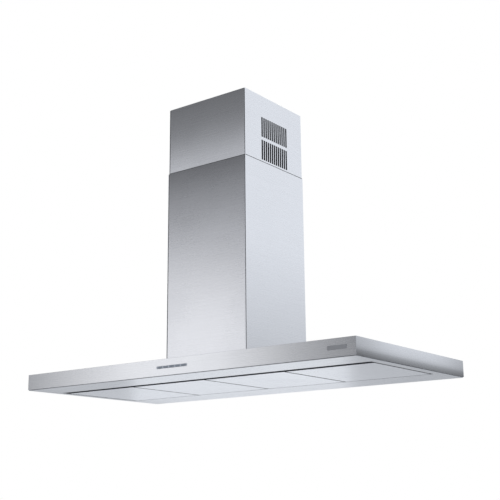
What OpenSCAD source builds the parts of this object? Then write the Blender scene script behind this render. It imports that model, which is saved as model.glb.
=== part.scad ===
// Island range hood: a ceiling frame, a two-section telescopic chimney and a flat steel canopy.
// Millimetres, +Z up. X runs along the canopy's long side and the front with the buttons faces -Y.
// The origin is the centre of the ceiling plate's top face, so the whole hood hangs below zero.

/* [Canopy] */
// Width of the canopy along X
canopy_w = 1200; // [1000:10:1440]
// Depth of the canopy along Y
canopy_d = 600; // [560:10:720]
// Height of the canopy's side walls
canopy_h = 47; // [46:1:56]
// Distance from the ceiling to the canopy's lower edge with the chimney as hung
drop = 873; // [860:1:1040]
// Thickness of the canopy's sheet steel
canopy_sheet = 1; // [0.8:0.1:1.2]
// Outside radius of the canopy's upright corners
canopy_corner_r = 2; // [1.5:0.5:6]

/* [Underside tray] */
// How far the tray's edge stands back from the canopy's outer face
tray_setback = 2.5; // [2:0.5:4]
// How far the tray hangs below the canopy's lower edge
tray_drop = 2; // [1:0.5:4]
// Steel border between the tray's front edge and the panel field
border_front = 115.5; // [90:0.5:130]
// Steel border between the tray's rear edge and the panel field
border_rear = 135; // [100:0.5:140]
// Steel border at each end of the panel field
border_side = 25.5; // [20:0.5:40]

/* [Access panels] */
// Number of hinged panels in the row
panel_count = 4; // [3:1:5]
// Suction slot in front of the panels
front_slot = 28; // [24:1:34]
// Gap between neighbouring panels and at the row's ends
panel_gap = 8; // [8:0.5:12]
// Gap behind the panels' hinged edge
rear_gap = 5; // [5:0.5:8]
// Depth of the panels' folded edges
panel_edge_h = 9; // [8:0.5:10]
// Radius of the panel hinge pins
hinge_pin_r = 1.95; // [1.5:0.05:2]
// Radial running clearance of every pin in its hole
pin_clearance = 0.06; // [0.04:0.01:0.08]

/* [Grease filters] */
// Thickness of a filter's frame
filter_h = 10; // [9:0.5:11]
// Side clearance between a filter and the rack
filter_clearance = 2.5; // [1:0.5:4]
// Travel of a filter's spring latch
latch_travel = 7; // [5:0.5:8]

/* [Chimney] */
// Outside width of the lower chimney section
chimney_w = 304; // [290:1:366]
// Outside depth of the lower chimney section
chimney_d = 304; // [290:1:366]
// Height of the lower chimney section
lower_chimney_h = 610; // [500:5:640]
// Thickness of the chimney's sheet steel
chimney_sheet = 0.8; // [0.6:0.1:1]
// Clearance between the sliding chimney sections
chimney_clearance = 0.5; // [0.4:0.1:1]
// Open joint between the front sheet and the side walls
corner_gap = 2.2; // [1:0.1:3]
// How far the canopy can be lowered on its telescopic uprights
lowering_travel = 200; // [100:10:240]

/* [Air grille] */
// Slots in one row of the grille
slot_count = 13; // [9:1:15]
// Width of a grille slot
slot_w = 7.4; // [4:0.2:8]
// Height of a grille slot
slot_h = 64; // [50:1:66]
// Spacing of the slots
slot_pitch = 10.6; // [9:0.1:12]
// Distance from the ceiling to the top of the upper row
grille_top = 70; // [66:1:72]
// Steel band between the two rows
grille_band = 10; // [8:1:12]

/* [Uprights] */
// Leg width of the upright angles
angle_leg = 26; // [20:1:30]
// Thickness of the upright angles
angle_t = 2; // [1.5:0.1:2.5]
// Length of the lower uprights
lower_upright_h = 590; // [560:5:600]
// Radius of the telescope bolts
telescope_bolt_r = 3; // [2.5:0.5:4]

/* [Air duct] */
// Outside radius of the blower's outlet collar
spigot_r = 75; // [60:0.5:80]
// Wall thickness of the duct tubes
duct_sheet = 0.8; // [0.6:0.1:1]
// Radial clearance between the two duct tubes
duct_clearance = 1; // [0.6:0.1:2]

/* [Blower] */
// Height of the blower's case above the canopy
motor_box_h = 270; // [268:1:280]
// Radius of the blower wheel
wheel_r = 80; // [70:1:96]
// Width of the blower wheel
wheel_w = 120; // [100:2:124]
// Number of blades on the wheel
blade_count = 36; // [24:1:40]
// Radius of the motor's body
motor_r = 45; // [38:1:46]
// Radius of the blower's shaft
shaft_r = 4; // [3:0.5:5]

/* [Controls] */
// Number of push buttons
button_count = 5; // [3:1:5]
// Width of a push button
button_w = 17; // [12:0.5:18]
// Height of a push button
button_h = 4.6; // [4:0.1:6]
// Spacing of the push buttons
button_pitch = 22; // [20:0.5:24]
// Travel of a push button
button_travel = 1.5; // [1:0.1:2]

/* [Ceiling fixing] */
// Hole spacing of the ceiling bolts along X and Y
ceiling_bolt_spacing = 220; // [200:5:230]
// Radius of a ceiling bolt hole
ceiling_bolt_r = 4.5; // [3:0.5:6]
// Thickness of the ceiling plate
ceiling_plate_t = 3; // [2.5:0.5:5]

/* [Hidden] */
$fn = 48;
eps = 0.01;
slide_clearance = 0.3;       // between flat faces that slide past each other

function numbered(name, n) = [for (i = [1:n]) str(name, "_", i)];

// Canopy levels and faces
base_z = -drop;                              // canopy's lower edge
roof_z = base_z + canopy_h;                  // canopy's top face
half_w = canopy_w/2;
half_d = canopy_d/2;
front_y = -half_d;
roof_under_z = roof_z - canopy_sheet;

// Panel field in the tray
tray_z = base_z - tray_drop;                 // tray's lower face
tray_half_w = half_w - tray_setback;
tray_half_d = half_d - tray_setback;
tray_edge_h = 11;
field_x = tray_half_w - border_side;         // half width of the tray's opening
field_y0 = -tray_half_d + border_front;
field_y1 = tray_half_d - border_rear;
field_flange_h = 6;
panel_w = (2*field_x - (panel_count + 1)*panel_gap)/panel_count;
panel_pitch = panel_w + panel_gap;
panel_y0 = field_y0 + front_slot;
panel_y1 = field_y1 - rear_gap;
panel_corner_r = 2;
hinge_y = panel_y1 - 4;
hinge_z = tray_z + 6;
hinge_hole_r = hinge_pin_r + pin_clearance;
lug_t = panel_gap - 2;                       // one millimetre clear of the panel on each side

// Filter rack and filters
rack_z = base_z + 24;
rack_sheet = 1.5;
rack_web = 3;
rack_web_top = base_z + 38;
filter_z = rack_z + rack_sheet;
filter_w = panel_pitch - rack_web - 2*filter_clearance;
filter_y0 = panel_y0 + 4;
filter_y1 = panel_y1 - 4;
filter_bar_side = 12;
filter_bar_front = 30;
filter_bar_rear = 14;
mesh_h = 6;
front_rail_y1 = filter_y0 - 2;
rear_rail_y0 = filter_y1 - 8;
rack_y1 = filter_y1 + 14;
latch_w = 40;
latch_tongue_h = 2.5;
latch_tongue_l = 23;
latch_reach = 6;                             // tongue in front of the filter at rest
latch_gap = 0.4;
latch_z = filter_z + 2.5;
tab_w = 24;
tab_t = 4;
tab_h = 11;
tab_y = filter_y0 + 10;

// Chimney sections
lower_half_w = chimney_w/2;
lower_half_d = chimney_d/2;
hem = 2*chimney_sheet;                       // the front sheet's edges are folded double
upper_half_w = lower_half_w - chimney_sheet - chimney_clearance;
upper_half_d = lower_half_d - hem - chimney_clearance;
seam_z = roof_z + lower_chimney_h;
upper_top_z = -0.5;
chimney_overlap = 85;                        // left between the sections when fully lowered
upper_chimney_h = upper_top_z - seam_z + lowering_travel + chimney_overlap;
chimney_bend_r = 2;

// Uprights
upper_leg_x = upper_half_w - chimney_sheet - 4.7;    // outer faces of the upper angles
upper_leg_y = upper_half_d - hem - 3.1;
lower_leg_x = upper_leg_x + slide_clearance + angle_t;
lower_leg_y = upper_leg_y + slide_clearance + angle_t;
lower_upright_top = roof_z + lower_upright_h;
upright_overlap = 205;
upper_upright_h = -ceiling_plate_t - lower_upright_top + lowering_travel + upright_overlap;
bolt_z = lower_upright_top - 30;
bolt_inset = angle_leg/2;                    // from the angle's outer face to the bolt's line
flange_h = 30;
screw_z = -ceiling_plate_t - 15;
screw_r = 2.5;

// Ducts, deflector and collar
box_half_x = upper_leg_x - angle_t - 1.7;
box_half_y = upper_leg_y - angle_t - 1.7;
box_top_z = roof_z + motor_box_h;
box_sheet = 1;
roof_opening_x = box_half_x - 16.5;
roof_opening_y = box_half_y - 16.5;
lower_duct_in = spigot_r + 0.1;
lower_duct_out = lower_duct_in + duct_sheet;
upper_duct_out = lower_duct_in - duct_clearance;
upper_duct_in = upper_duct_out - duct_sheet;
grille_bottom = grille_top + 2*slot_h + grille_band;
deflector_top = -grille_top + 4;
deflector_bottom = -grille_bottom - 3.5;
deflector_sheet = 1.2;
deflector_half_x = upper_half_w - chimney_sheet - 1;
deflector_neck = 14;                         // its round neck inside the upper duct
divider_half_w = 45;                         // wedge that parts the air to both sides
divider_drop = 75;
grille_margin = 2;                           // deflector's side walls clear of the outer slots
deflector_half_y = max(slot_count*slot_pitch/2 + grille_margin, upper_duct_out + 3);
brace_t = 2;
brace_z = deflector_bottom - brace_t;
lower_duct_top = brace_z - 12;
duct_overlap = 43;
upper_duct_bottom = lower_duct_top - lowering_travel - duct_overlap;
collar_wall = 1.5;
collar_in = spigot_r - collar_wall;
collar_flange_t = 2;
collar_h = 55;
flap_z = box_top_z + 11;
flap_y = 3;
flap_t = 1.2;
flap_r = collar_in - 1;
flap_pin_r = 1.9;

// Blower
scroll_start = 75;                           // angle of the scroll's tongue
scroll_r0 = wheel_r + 6;
scroll_r1 = wheel_r + 32;
scroll_wall = 1.5;
scroll_front_gap = 3;                        // case's front wall to the scroll's largest radius
scroll_rise = 40;                            // from the canopy's roof to the wheel's rim
fan_y = scroll_r1 + scroll_wall + scroll_front_gap - box_half_y;
fan_z = roof_z + wheel_r + scroll_rise;
scroll_half = wheel_w/2 + 3.5;
scroll_top = box_top_z - box_sheet;
scroll_mouth = collar_in - 11.5;             // inside the collar, clear of its ledge
inlet_r = wheel_r - 14;
blade_l = 14;
hub_r = 12;
motor_x0 = 23.5 - box_half_x;                // leaves room for the motor's wires
motor_x1 = -12;

// Controls
button_z = base_z + canopy_h/2;
button_gap = 0.3;
button_face = 1;                             // how far a button stands out of the front
bezel_w = button_count*button_pitch + 3;
bezel_h = button_h + 2.4;
bezel_face = 0.2;
bezel_flange_t = 1.5;
bezel_post_r = 2.5;
bezel_back_y = front_y + canopy_sheet + bezel_flange_t;
board_y = bezel_back_y + 10.5;
button_flange_t = 1.5;
badge_w = 57;
badge_h = 11;
badge_t = 0.6;
badge_x = half_w - 56;
board_t = 1.6;
board_half_w = bezel_w/2 + 2*bezel_post_r + 1;
switch_h = 3.5;
switch_y = board_y - switch_h;

// Light, wiring and screws
led_l = canopy_w - 240;
led_y = field_y0 + 1;
led_d = 12;
led_h = 12;
led_wall = 1.2;
roof_screw_r = 2;
gland_thread_r = 8;
gland_bore_r = 4;
gland_tail = 12;
gland_x = -box_half_x + 26;
gland_y = -box_half_y + 26;
supply_x1 = gland_x + 25;                    // electronics box, near the supply cable's gland
supply_x0 = supply_x1 - 150;
supply_y0 = front_y + 15;
supply_y1 = supply_y0 + 80;
wire_z = rack_web_top + 3;

steel = [0.76, 0.77, 0.78];
galvanised = [0.62, 0.64, 0.66];
dark = [0.16, 0.16, 0.18];

// ---------- shared shapes ----------

module rounded(w, d, r) {
    square([w, d - 2*r], center = true);
    square([w - 2*r, d], center = true);
    for (x = [-1, 1], y = [-1, 1])
        translate([x*(w/2 - r), y*(d/2 - r)]) circle(r);
}

module slab(w, d, h, r) {
    linear_extrude(h) rounded(w, d, r);
}

// A block given by its lowest and highest corners
module block(a, b) {
    translate(a) cube(b - a);
}

// A cylinder along X, Y or Z that starts at p
module rod_x(p, r, l) {
    translate(p) rotate([0, 90, 0]) cylinder(r = r, h = l);
}

module rod_y(p, r, l) {
    translate(p) rotate([-90, 0, 0]) cylinder(r = r, h = l);
}

module rod_z(p, r, l) {
    translate(p) cylinder(r = r, h = l);
}

module ring(z, r_in, r_out, h) {
    translate([0, 0, z]) difference() {
        cylinder(r = r_out, h = h);
        translate([0, 0, -1]) cylinder(r = r_in, h = h + 2);
    }
}

// The Y-Z outline at hand, drawn out along X from x0
module along_x(x0, l) {
    translate([x0, 0, 0]) rotate([90, 0, 90]) linear_extrude(l) children();
}

// Signs of the four upright corners, counted from front left
function corner(i) = [[-1, -1], [1, -1], [1, 1], [-1, 1]][i - 1];

// Centre of panel i along X
function panel_x(i) = (i - (panel_count + 1)/2)*panel_pitch;

// ---------- ceiling side ----------

module ceiling_plate() {
    tab_reach = 20;
    color(galvanised) difference() {
        union() {
            block([-upper_leg_x, -upper_leg_y, -ceiling_plate_t], [upper_leg_x, upper_leg_y, 0]);
            difference() {
                block([-upper_leg_x + angle_t, -upper_leg_y + angle_t, -ceiling_plate_t - flange_h],
                      [upper_leg_x - angle_t, upper_leg_y - angle_t, -ceiling_plate_t + eps]);
                block([-upper_leg_x + 2*angle_t, -upper_leg_y + 2*angle_t, -drop],
                      [upper_leg_x - 2*angle_t, upper_leg_y - 2*angle_t, -ceiling_plate_t - eps]);
            }
            for (s = [-1, 1]) {
                x_in = upper_half_w - chimney_sheet;
                y_in = s < 0 ? upper_half_d - hem : upper_half_d - chimney_sheet;
                clip([s*x_in, 0], s, 0, x_in - upper_leg_x);
                clip([0, s*y_in], 0, s, y_in - upper_leg_y);
            }
        }
        rod_z([0, 0, -ceiling_plate_t - 1], spigot_r + 5, ceiling_plate_t + 2);
        for (x = [-1, 1], y = [-1, 1]) {
            rod_z([x*ceiling_bolt_spacing/2, y*ceiling_bolt_spacing/2, -ceiling_plate_t - 1],
                  ceiling_bolt_r, ceiling_plate_t + 2);
            rod_x([-upper_leg_x*1.1, y*(upper_leg_y - bolt_inset), screw_z], screw_r, 2.2*upper_leg_x);
        }
    }
    // A spring clip that reaches out to the chimney's inner face
    module clip(p, sx, sy, reach) {
        w = 40;
        grip = 1.2;
        hx = sx == 0 ? w/2 : 0;
        hy = sy == 0 ? w/2 : 0;
        block([min(p[0] - hx, p[0] - sx*(reach + 1)), min(p[1] - hy, p[1] - sy*(reach + 1)),
               -ceiling_plate_t],
              [max(p[0] + hx, p[0] - sx*(reach + 1)), max(p[1] + hy, p[1] - sy*(reach + 1)), -1]);
        block([min(p[0] - hx, p[0] - sx*grip), min(p[1] - hy, p[1] - sy*grip),
               -ceiling_plate_t - tab_reach],
              [max(p[0] + hx, p[0] - sx*grip), max(p[1] + hy, p[1] - sy*grip), -1]);
    }
}

// An angle with its outer faces at x and y, in the corner of signs c
module angle_post(c, x, y, z0, z1) {
    mirror([c[0] < 0 ? 1 : 0, 0, 0]) mirror([0, c[1] < 0 ? 1 : 0, 0]) {
        block([x - angle_t, y - angle_leg, z0], [x, y, z1]);
        block([x - angle_leg, y - angle_t, z0], [x, y, z1]);
    }
}

module upper_upright(i) {
    c = corner(i);
    line_y = c[1]*(upper_leg_y - bolt_inset);
    slot_r = telescope_bolt_r + 0.5;
    z_top = bolt_z + 4;
    z_low = bolt_z - lowering_travel - 4;
    color(galvanised) difference() {
        angle_post(c, upper_leg_x, upper_leg_y, -ceiling_plate_t - upper_upright_h, -ceiling_plate_t);
        for (z = [z_low, z_top])
            rod_x([c[0]*upper_leg_x - 5, line_y, z], slot_r, 10);
        block([c[0]*upper_leg_x - 5, line_y - slot_r, z_low],
              [c[0]*upper_leg_x + 5, line_y + slot_r, z_top]);
        rod_x([c[0]*upper_leg_x - 5, line_y, screw_z], screw_r, 10);
    }
}

module brace_plate() {
    x = upper_leg_x - angle_t;
    y = upper_leg_y - angle_t;
    color(galvanised) difference() {
        block([-x, -y, brace_z], [x, y, brace_z + brace_t]);
        rod_z([0, 0, brace_z - 1], upper_duct_out + 2, brace_t + 2);
        for (sx = [-1, 1], sy = [-1, 1])
            rod_z([sx*(x - 25), sy*(y - 25), brace_z - 1], 12, brace_t + 2);
    }
}

// The flat front sheet of a chimney section, with doubled edges
module chimney_front(half_x, half_y, z0, h) {
    w = half_x - chimney_sheet - corner_gap;
    edge = 12;
    color(steel) difference() {
        translate([0, -half_y + hem/2, z0]) slab(2*w, hem, h, 0.6);
        block([-w + edge, -half_y + chimney_sheet, z0 + edge],
              [w - edge, -half_y + hem + 1, z0 + h - edge]);
    }
}

// The bend between a side wall and the rear wall
module rear_corner(s, half_x, half_y, z0, h) {
    cut = chimney_bend_r + 1;
    r_in = chimney_bend_r - chimney_sheet;
    intersection() {
        translate([s*(half_x - chimney_bend_r), half_y - chimney_bend_r, 0])
            ring(z0, r_in, chimney_bend_r, h);
        translate([s*(half_x - chimney_bend_r + cut/2), half_y - chimney_bend_r + cut/2, z0 + h/2])
            cube([cut, cut, h + 2], center = true);
    }
}

module side_walls(half_x, half_y, z0, h) {
    for (s = [-1, 1]) {
        x0 = s < 0 ? -half_x : half_x - chimney_sheet;
        block([x0, -half_y, z0], [x0 + chimney_sheet, half_y - chimney_bend_r, z0 + h]);
    }
}

// A rear U: back sheet, bends, side walls and the clips that hold the front sheet
module chimney_u(half_x, half_y, z0, h, clip_levels) {
    side_walls(half_x, half_y, z0, h);
    block([-half_x + chimney_bend_r, half_y - chimney_sheet, z0], [half_x - chimney_bend_r, half_y, z0 + h]);
    for (s = [-1, 1]) {
        rear_corner(s, half_x, half_y, z0, h);
        for (z = clip_levels)
            translate([s < 0 ? -half_x + chimney_sheet : half_x - 20, -half_y + hem, z])
                cube([20 - chimney_sheet, chimney_sheet, 12]);
    }
}

module upper_chimney_front() {
    chimney_front(upper_half_w, upper_half_d, upper_top_z - upper_chimney_h, upper_chimney_h);
}

module upper_chimney_rear() {
    z0 = upper_top_z - upper_chimney_h;
    color(steel) difference() {
        chimney_u(upper_half_w, upper_half_d, z0, upper_chimney_h, [upper_top_z - 40, z0 + 20]);
        for (k = [0:slot_count - 1], row = [0, 1])
            translate([0, (k - (slot_count - 1)/2)*slot_pitch, -grille_top - row*(slot_h + grille_band)])
                slot_cut();
    }
    module slot_cut() {
        reach = 4*upper_half_w;
        r = 1.2;
        translate([-reach/2, 0, -slot_h/2]) rotate([90, 0, 90])
            linear_extrude(reach) rounded(slot_w, slot_h, r);
    }
}

module air_deflector() {
    x = deflector_half_x;
    y = deflector_half_y;
    t = deflector_sheet;
    neck_out = upper_duct_in - 0.1;
    color(dark) difference() {
        union() {
            difference() {
                block([-x, -y, deflector_bottom], [x, y, deflector_top]);
                block([-x - 1, -y + t, deflector_bottom + t], [x + 1, y - t, deflector_top - t]);
            }
            translate([0, y, 0]) rotate([90, 0, 0]) linear_extrude(2*y) polygon([
                [-divider_half_w, deflector_top - t/2], [divider_half_w, deflector_top - t/2],
                [0, deflector_top - divider_drop]]);
            ring(deflector_bottom - deflector_neck, neck_out - t, neck_out, deflector_neck + t);
        }
        rod_z([0, 0, deflector_bottom - 1], neck_out - t, t + 2);
    }
}

module upper_duct() {
    color(galvanised) ring(upper_duct_bottom, upper_duct_in, upper_duct_out,
                           deflector_bottom - upper_duct_bottom);
}

// Button-head screws through the upper angles and the ceiling plate's flange
module upright_screws() {
    color(steel) for (s = [-1, 1], t = [-1, 1]) {
        y = t*(upper_leg_y - bolt_inset);
        mirror([s < 0 ? 1 : 0, 0, 0]) {
            rod_x([upper_leg_x, y, screw_z], 2*screw_r, 2.2);
            rod_x([upper_leg_x - 8, y, screw_z], screw_r, 8 + eps);
        }
    }
}

// ---------- telescope and lower chimney ----------

module lower_upright(i) {
    c = corner(i);
    line_y = c[1]*(upper_leg_y - bolt_inset);
    foot_h = 36;
    color(galvanised) difference() {
        union() {
            angle_post(c, lower_leg_x, lower_leg_y, roof_z, lower_upright_top);
            mirror([c[0] < 0 ? 1 : 0, 0, 0]) mirror([0, c[1] < 0 ? 1 : 0, 0])
                block([box_half_x, lower_leg_y - angle_leg, roof_z],
                      [lower_leg_x - angle_t + eps, lower_leg_y - angle_t - 2, roof_z + foot_h]);
        }
        rod_x([c[0]*lower_leg_x - 5, line_y, bolt_z], telescope_bolt_r, 10);
    }
}

// Carriage bolts with nuts that clamp the telescope
module telescope_bolts() {
    nut_gap = 0.4;
    color(steel) for (s = [-1, 1], t = [-1, 1]) {
        y = t*(upper_leg_y - bolt_inset);
        nut_x = upper_leg_x - angle_t - nut_gap;
        mirror([s < 0 ? 1 : 0, 0, 0]) {
            rod_x([lower_leg_x, y, bolt_z], 2.2*telescope_bolt_r, 1.6);
            rod_x([nut_x - 8, y, bolt_z], telescope_bolt_r, lower_leg_x - nut_x + 8 + eps);
            translate([nut_x - 5, y, bolt_z]) rotate([0, 90, 0])
                cylinder(r = 1.9*telescope_bolt_r, h = 5, $fn = 6);
        }
    }
}

module lower_chimney_front() {
    chimney_front(lower_half_w, lower_half_d, roof_z, lower_chimney_h);
}

module lower_chimney_rear() {
    color(steel) chimney_u(lower_half_w, lower_half_d, roof_z, lower_chimney_h,
                           [roof_z + 2, roof_z + 240]);
}

module lower_duct() {
    z0 = box_top_z + collar_flange_t + 0.5;
    color(galvanised) ring(z0, lower_duct_in, lower_duct_out, lower_duct_top - z0);
}

// ---------- blower ----------

module motor_box() {
    x = box_half_x;
    y = box_half_y;
    t = box_sheet;
    color(galvanised) difference() {
        block([-x, -y, roof_z], [x, y, box_top_z]);
        block([-x + t, -y + t, roof_z + t], [x - t, y - t, box_top_z - t]);
        block([-roof_opening_x, -roof_opening_y, roof_z - 1],
              [roof_opening_x, roof_opening_y, roof_z + t + 1]);
        rod_z([0, 0, box_top_z - 5], collar_in, 10);
        rod_z([gland_x, gland_y, box_top_z - 5], gland_thread_r, 10);
        roof_screw_places() rod_z([0, 0, roof_z - 1], roof_screw_r, t + 2);
    }
}

// The eight screws round the roof's opening
module roof_screw_places() {
    for (s = [-1, 1], t = [-1, 1]) {
        translate([s*(roof_opening_x + 8), t*60, 0]) children();
        translate([s*60, t*(roof_opening_y + 8), 0]) children();
    }
}

// The scroll's outline, shrunk by t: a growing spiral that ends in a slanted mouth
function scroll_outline(t) = concat(
    [for (a = [scroll_start:7.5:360])
        let (r = scroll_r0 + (scroll_r1 - scroll_r0)*(a - scroll_start)/(360 - scroll_start) - t)
        [fan_y + r*cos(a), fan_z + r*sin(a)]],
    [[fan_y + scroll_r1 - t, fan_z + 30], [scroll_mouth - t, scroll_top], [t - scroll_mouth, scroll_top]]);

module scroll_half_shell(s) {
    far = scroll_half + scroll_wall;
    color(galvanised) mirror([s < 0 ? 1 : 0, 0, 0]) difference() {
        along_x(0, far) polygon(scroll_outline(0));
        along_x(-1, scroll_half + 1) polygon(scroll_outline(scroll_wall));
        rod_x([-1, fan_y, fan_z], inlet_r, far + 2);
        block([-1, t_mouth(-1), scroll_top - 4], [scroll_half, t_mouth(1), scroll_top + 1]);
    }
    function t_mouth(side) = side*(scroll_mouth - scroll_wall - 2);
}

module scroll_left() {
    scroll_half_shell(-1);
}

module scroll_right() {
    scroll_half_shell(1);
}

// Three arms that carry the motor in the left inlet
module motor_bracket() {
    x = -scroll_half - scroll_wall;
    t = 3;
    color(galvanised) {
        translate([x - t, fan_y, fan_z]) rotate([0, 90, 0]) {
            ring(0, inlet_r + 3, inlet_r + 13, t);
            ring(0, motor_r, motor_r + 5, t);
            for (a = [30, 150, 270])
                rotate([0, 0, a]) translate([motor_r + 2, -5, 0]) cube([inlet_r + 5 - motor_r, 10, t]);
        }
    }
}

module motor() {
    hole = shaft_r + pin_clearance;
    color(dark) difference() {
        union() {
            rod_x([motor_x0 + 4, fan_y, fan_z], motor_r, motor_x1 - motor_x0 - 12);
            rod_x([motor_x0, fan_y, fan_z], motor_r - 8, motor_x1 - motor_x0);
        }
        rod_x([motor_x1 - 40, fan_y, fan_z], hole, 41);
        for (a = [0:30:330])
            translate([motor_x0 + 2, fan_y, fan_z]) rotate([a, 0, 0]) translate([-5, 0, motor_r - 16])
                rotate([0, 90, 0]) cylinder(r = 2.5, h = 12);
    }
}

module fan_shaft() {
    color(steel) rod_x([motor_x1 - 36, fan_y, fan_z], shaft_r, 36 - motor_x1 + 10);
}

module fan_wheel() {
    color(galvanised) translate([0, fan_y, fan_z]) difference() {
        union() {
            rod_x([-1, 0, 0], wheel_r - 1, 2);
            rod_x([-6, 0, 0], hub_r, 14);
            for (x = [-wheel_w/2, wheel_w/2 - 1.5])
                translate([x, 0, 0]) rotate([0, 90, 0]) ring(0, inlet_r, wheel_r, 1.5);
            for (i = [0:blade_count - 1])
                rotate([i*360/blade_count, 0, 0]) translate([-wheel_w/2 + 0.5, inlet_r + 1, 0])
                    rotate([20, 0, 0]) cube([wheel_w - 1, blade_l - 1.8, 1.2]);
        }
        rod_x([-10, 0, 0], shaft_r, 30);
    }
}

module capacitor() {
    color(dark) rod_z([box_half_x - 22, -box_half_y + 20, roof_z + 90], 16, 55);
}

module outlet_collar() {
    ledge_z = flap_z - flap_t/2 - 0.4;
    color(galvanised) difference() {
        union() {
            ring(box_top_z, collar_in, spigot_r + 18, collar_flange_t);
            ring(box_top_z, collar_in, spigot_r, collar_h);
            ring(ledge_z - 2, flap_r - 4, collar_in + eps, 2);
            block([-flap_r, -4.5, ledge_z - 4], [flap_r, 4.5, flap_z - flap_pin_r - 0.5]);
        }
        for (s = [-1, 1])
            rod_x([-spigot_r - 2, s*flap_y, flap_z], flap_pin_r + pin_clearance, 2*spigot_r + 4);
    }
}

// A half-round flap whose edge rod turns in the collar's wall
module damper_flap(s) {
    pin_end = spigot_r - 0.5;
    color(dark) {
        rod_x([-pin_end, s*flap_y, flap_z], flap_pin_r, 2*pin_end);
        intersection() {
            rod_z([0, 0, flap_z - flap_t/2], flap_r, flap_t);
            translate([-flap_r, s < 0 ? -flap_r : flap_y, flap_z - flap_t])
                cube([2*flap_r, flap_r - flap_y, 2*flap_t]);
        }
    }
}

module damper_flap_front() {
    damper_flap(-1);
}

module damper_flap_rear() {
    damper_flap(1);
}

// ---------- canopy ----------

module canopy_shell() {
    t = canopy_sheet;
    color(steel) difference() {
        translate([0, 0, base_z]) slab(canopy_w, canopy_d, canopy_h, canopy_corner_r);
        translate([0, 0, base_z - 1])
            slab(canopy_w - 2*t, canopy_d - 2*t, canopy_h + 1 - t, max(canopy_corner_r - t, 0.4));
        block([-roof_opening_x, -roof_opening_y, roof_z - 5], [roof_opening_x, roof_opening_y, roof_z + 5]);
        translate([0, front_y - 1, button_z]) rotate([-90, 0, 0])
            slab(bezel_w + 0.3, bezel_h + 0.3, t + 2, 1.5);
        roof_screw_places() rod_z([0, 0, roof_z - 2*t], roof_screw_r, 3*t);
    }
}

module canopy_tray() {
    t = canopy_sheet;
    pad = half_w - canopy_sheet - tray_half_w;
    field_cy = (field_y0 + field_y1)/2;
    color(steel) {
        difference() {
            translate([0, 0, tray_z]) slab(2*tray_half_w, 2*tray_half_d, tray_edge_h, 1.5);
            translate([0, 0, tray_z + t])
                slab(2*(tray_half_w - t), 2*(tray_half_d - t), tray_edge_h, 0.5);
            translate([0, field_cy, tray_z - 1])
                slab(2*field_x, field_y1 - field_y0, 2*t + 2, panel_corner_r);
        }
        difference() {
            translate([0, field_cy, tray_z])
                slab(2*(field_x + t), field_y1 - field_y0 + 2*t, field_flange_h, panel_corner_r + t);
            translate([0, field_cy, tray_z - 1])
                slab(2*field_x, field_y1 - field_y0, field_flange_h + 2, panel_corner_r);
        }
        for (s = [-1, 1], k = [-1, 0, 1]) {
            translate([s*(tray_half_w + pad/2 - eps), k*half_d*0.6, base_z + 5])
                cube([pad + 2*eps, 30, 6], center = true);
            translate([k*half_w*0.6, s*(tray_half_d + pad/2 - eps), base_z + 5])
                cube([30, pad + 2*eps, 6], center = true);
        }
    }
}

// Crossbars with hinge lugs, joined by a front and a rear ledge
module filter_rack() {
    post_l = 12;
    lug_l = 10;
    lug_low = hinge_z - 3.6;
    color(galvanised) difference() {
        union() {
            for (k = [0:panel_count]) {
                x = (k - panel_count/2)*panel_pitch;
                block([x - rack_web/2, field_y0, rack_z], [x + rack_web/2, rack_y1, rack_web_top]);
                for (y = [field_y0, rack_y1 - post_l])
                    block([x - rack_web/2, y, rack_z], [x + rack_web/2, y + post_l, roof_under_z]);
                block([x - lug_t/2, hinge_y - lug_l/2, lug_low],
                      [x + lug_t/2, hinge_y + lug_l/2, rack_z + rack_sheet/2]);
            }
            rail_x = panel_count*panel_pitch/2 + rack_web/2;
            block([-rail_x, field_y0, rack_z], [rail_x, front_rail_y1, rack_z + rack_sheet]);
            block([-rail_x, rear_rail_y0, rack_z], [rail_x, rack_y1, rack_z + rack_sheet]);
        }
        for (k = [0:panel_count])
            rod_x([(k - panel_count/2)*panel_pitch - lug_t, hinge_y, hinge_z], hinge_hole_r, 2*lug_t);
    }
}

module filter_frame(i) {
    x = panel_x(i);
    w = filter_w;
    slot_y1 = tab_y + tab_t + latch_travel + 1;
    color(galvanised) difference() {
        translate([x, (filter_y0 + filter_y1)/2, filter_z]) slab(w, filter_y1 - filter_y0, filter_h, 2);
        block([x - w/2 + filter_bar_side, filter_y0 + filter_bar_front, filter_z - 1],
              [x + w/2 - filter_bar_side, filter_y1 - filter_bar_rear, filter_z + filter_h + 1]);
        block([x - latch_w/2 - latch_gap, filter_y0 - 1, latch_z - latch_gap],
              [x + latch_w/2 + latch_gap, filter_y0 - latch_reach + latch_tongue_l + latch_travel + 1,
               latch_z + latch_tongue_h + latch_gap]);
        block([x - tab_w/2 - latch_gap, tab_y - 1, filter_z - 1],
              [x + tab_w/2 + latch_gap, slot_y1, latch_z + eps]);
    }
}

// The layered mesh of every filter, one solid each
module filter_meshes() {
    color(galvanised) for (i = [1:panel_count]) {
        x = panel_x(i);
        block([x - filter_w/2 + filter_bar_side, filter_y0 + filter_bar_front, filter_z + 2],
              [x + filter_w/2 - filter_bar_side, filter_y1 - filter_bar_rear, filter_z + 2 + mesh_h]);
    }
}

// A sliding tongue with a finger tab
module filter_latch(i) {
    x = panel_x(i);
    y0 = filter_y0 - latch_reach;
    color(dark) {
        block([x - latch_w/2, y0, latch_z], [x + latch_w/2, y0 + latch_tongue_l, latch_z + latch_tongue_h]);
        block([x - tab_w/2, tab_y, latch_z - tab_h], [x + tab_w/2, tab_y + tab_t, latch_z + eps]);
    }
}

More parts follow.
